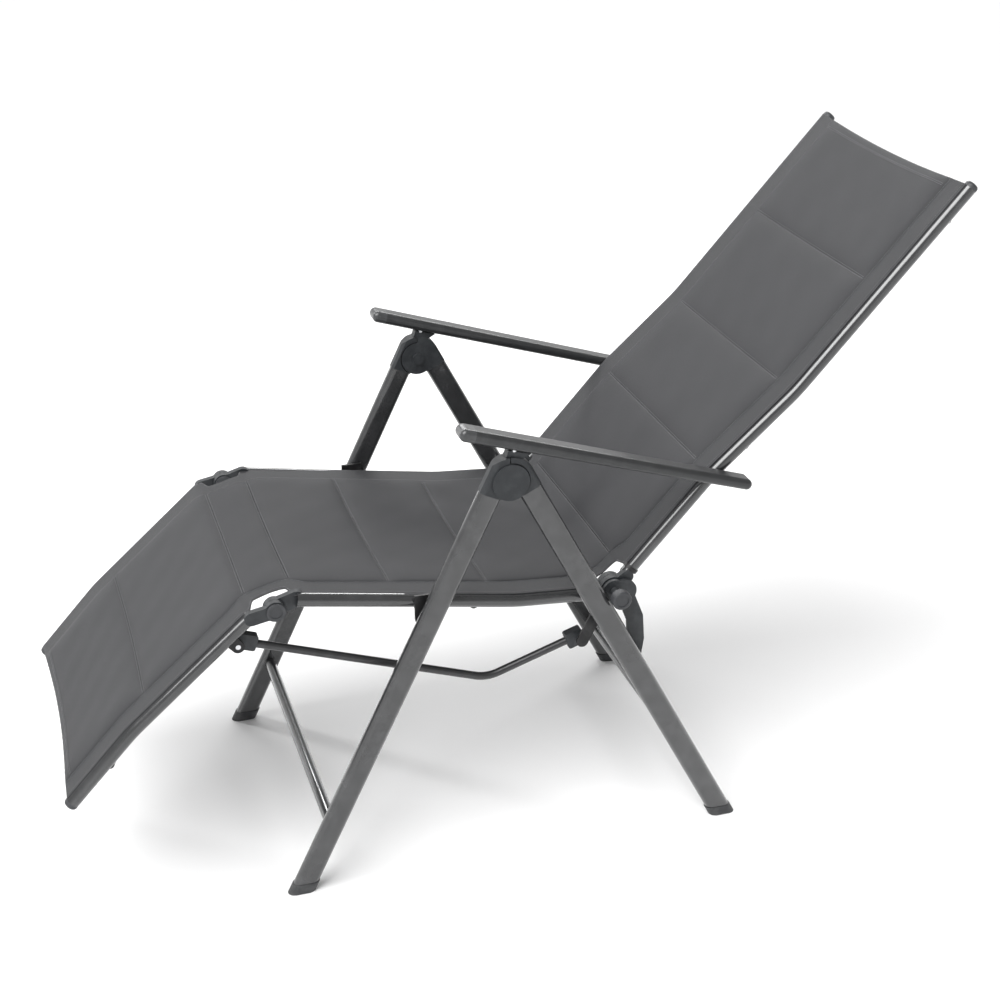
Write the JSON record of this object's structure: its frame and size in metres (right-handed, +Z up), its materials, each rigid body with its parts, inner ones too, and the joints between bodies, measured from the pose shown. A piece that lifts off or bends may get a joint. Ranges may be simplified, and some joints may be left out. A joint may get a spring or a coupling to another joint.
{
  "type": "reclining garden armchair",
  "caption": "folding high-back garden armchair with quilted sling, ratchet armrests and a linked footrest that rises as the back reclines",
  "frame": {"origin": "on the floor under the middle of the chair's length and width, fully reclined", "axes": "+Z up, the chair faces -Y, +X is the sitter's left"},
  "size_m": [0.594, 1.4728, 1.0778],
  "materials": {
    "frame": "satin anthracite powder coat on aluminium tube",
    "sling": "padded anthracite woven sling",
    "plastic": "dark blue-grey moulded plastic",
    "steel": "bright plated steel",
    "black_steel": "black painted steel",
    "black_plastic": "black moulded plastic"
  },
  "bodies": {
    "rear_frame": {"rear_leg_left": "frame", "rear_leg_right": "frame", "rear_feet": "plastic", "rear_head_left": "plastic", "rear_head_right": "plastic", "head_bolts": "black_steel", "catch_blocks": "plastic", "catch_pins": "steel", "rear_crossbar": "frame"},
    "front_frame": {"front_leg_left": "frame", "front_leg_right": "frame", "front_feet": "plastic", "front_head_left": "plastic", "front_head_right": "plastic", "front_crossbar": "frame", "seat_pins": "steel"},
    "seat_frame": {"seat_rail_left": "frame", "seat_rail_right": "frame", "seat_rear_eyes": "plastic", "seat_knee_eyes": "plastic", "seat_brackets": "black_steel", "seat_front_bar": "frame", "seat_rear_bar": "frame", "seat_sling": "sling"},
    "links": {"fold_link_left": "plastic", "fold_link_right": "plastic", "link_rivets": "steel"},
    "hinge_axle": {"rear_hinge_pins": "steel", "hinge_bushes": "plastic", "hinge_caps": "plastic"},
    "back_frame": {"back_rail_left": "frame", "back_rail_right": "frame", "back_eyes": "plastic", "rod_levers": "black_steel", "back_collars": "black_steel", "back_end_caps": "plastic", "back_lower_bar": "frame", "back_upper_bar": "frame", "back_sling": "sling"},
    "arm_pivots": {"armrest_rivets": "steel"},
    "left_arm": {"armrest_left": "plastic", "armrest_tip_left": "plastic", "armrest_ratchet_left": "black_plastic"},
    "right_arm": {"armrest_right": "plastic", "armrest_tip_right": "plastic", "armrest_ratchet_right": "black_plastic"},
    "knee_axle": {"knee_pins": "plastic"},
    "footrest": {"foot_rail_left": "frame", "foot_rail_right": "frame", "foot_knee_eyes": "plastic", "foot_lugs": "black_steel", "foot_end_caps": "plastic", "foot_bar": "frame", "foot_sling": "sling"},
    "rod_pivots": {"rod_front_pins": "steel"},
    "rods": {"footrest_rod_left": "frame", "footrest_rod_right": "frame", "rod_front_blocks": "plastic", "rod_rear_blocks": "plastic", "rod_rear_pins": "steel"}
  },
  "joints": [
    {"name": "leg_fold", "type": "hinge", "parent": "rear_frame", "child": "front_frame", "pos_m": [0, -0.03351, 0.687], "axis": [1, 0, 0], "range_deg": [0, 50]},
    {"name": "back_recline", "type": "hinge", "parent": "hinge_axle", "child": "back_frame", "pos_m": [0, 0.14849, 0.46], "axis": [1, 0, 0], "range_deg": [0, 24]},
    {"name": "seat_swing", "type": "hinge", "parent": "front_frame", "child": "seat_frame", "pos_m": [0, -0.16251, 0.462], "axis": [1, 0, 0], "range_deg": [-96.01, 0]},
    {"name": "link_swing", "type": "hinge", "parent": "seat_frame", "child": "links", "pos_m": [0, 0.14849, 0.46], "axis": [1, 0, 0], "range_deg": [-108.21, 0]},
    {"name": "hinge_axle_turn", "type": "hinge", "parent": "seat_frame", "child": "hinge_axle", "pos_m": [0, 0.14849, 0.46], "axis": [1, 0, 0], "range_deg": [0, 93.01]},
    {"name": "arm_pivot_turn", "type": "hinge", "parent": "back_frame", "child": "arm_pivots", "pos_m": [0, 0.31649, 0.634], "axis": [1, 0, 0], "range_deg": [-108.01, 0]},
    {"name": "left_arm_swing", "type": "hinge", "parent": "arm_pivots", "child": "left_arm", "pos_m": [0.272, 0.31649, 0.634], "axis": [1, 0, 0], "range_deg": [-18.01, 0]},
    {"name": "right_arm_swing", "type": "hinge", "parent": "arm_pivots", "child": "right_arm", "pos_m": [-0.272, 0.31649, 0.634], "axis": [1, 0, 0], "range_deg": [-18.01, 0]},
    {"name": "knee_axle_turn", "type": "hinge", "parent": "seat_frame", "child": "knee_axle", "pos_m": [0, -0.39551, 0.507], "axis": [1, 0, 0], "range_deg": [0, 78.01]},
    {"name": "footrest_swing", "type": "hinge", "parent": "knee_axle", "child": "footrest", "pos_m": [0, -0.39551, 0.507], "axis": [1, 0, 0], "range_deg": [0, 34.01]},
    {"name": "rod_pivot_turn", "type": "hinge", "parent": "footrest", "child": "rod_pivots", "pos_m": [0, -0.45501, 0.452], "axis": [1, 0, 0], "range_deg": [-71.61, 0]},
    {"name": "rod_swing", "type": "hinge", "parent": "rod_pivots", "child": "rods", "pos_m": [0, -0.45501, 0.452], "axis": [1, 0, 0], "range_deg": [-32.51, 0]}
  ],
  "couplings": [
    {"joint": "seat_swing", "follows": "leg_fold", "ratio": -1.92},
    {"joint": "link_swing", "follows": "leg_fold", "ratio": -2.164},
    {"joint": "hinge_axle_turn", "follows": "leg_fold", "ratio": 1.86},
    {"joint": "arm_pivot_turn", "follows": "leg_fold", "ratio": -2.16},
    {"joint": "left_arm_swing", "follows": "back_recline", "ratio": -0.75},
    {"joint": "right_arm_swing", "follows": "back_recline", "ratio": -0.75},
    {"joint": "knee_axle_turn", "follows": "leg_fold", "ratio": 1.56},
    {"joint": "footrest_swing", "follows": "back_recline", "ratio": 1.4167},
    {"joint": "rod_pivot_turn", "follows": "leg_fold", "ratio": -1.432},
    {"joint": "rod_swing", "follows": "back_recline", "ratio": -1.3542}
  ]
}
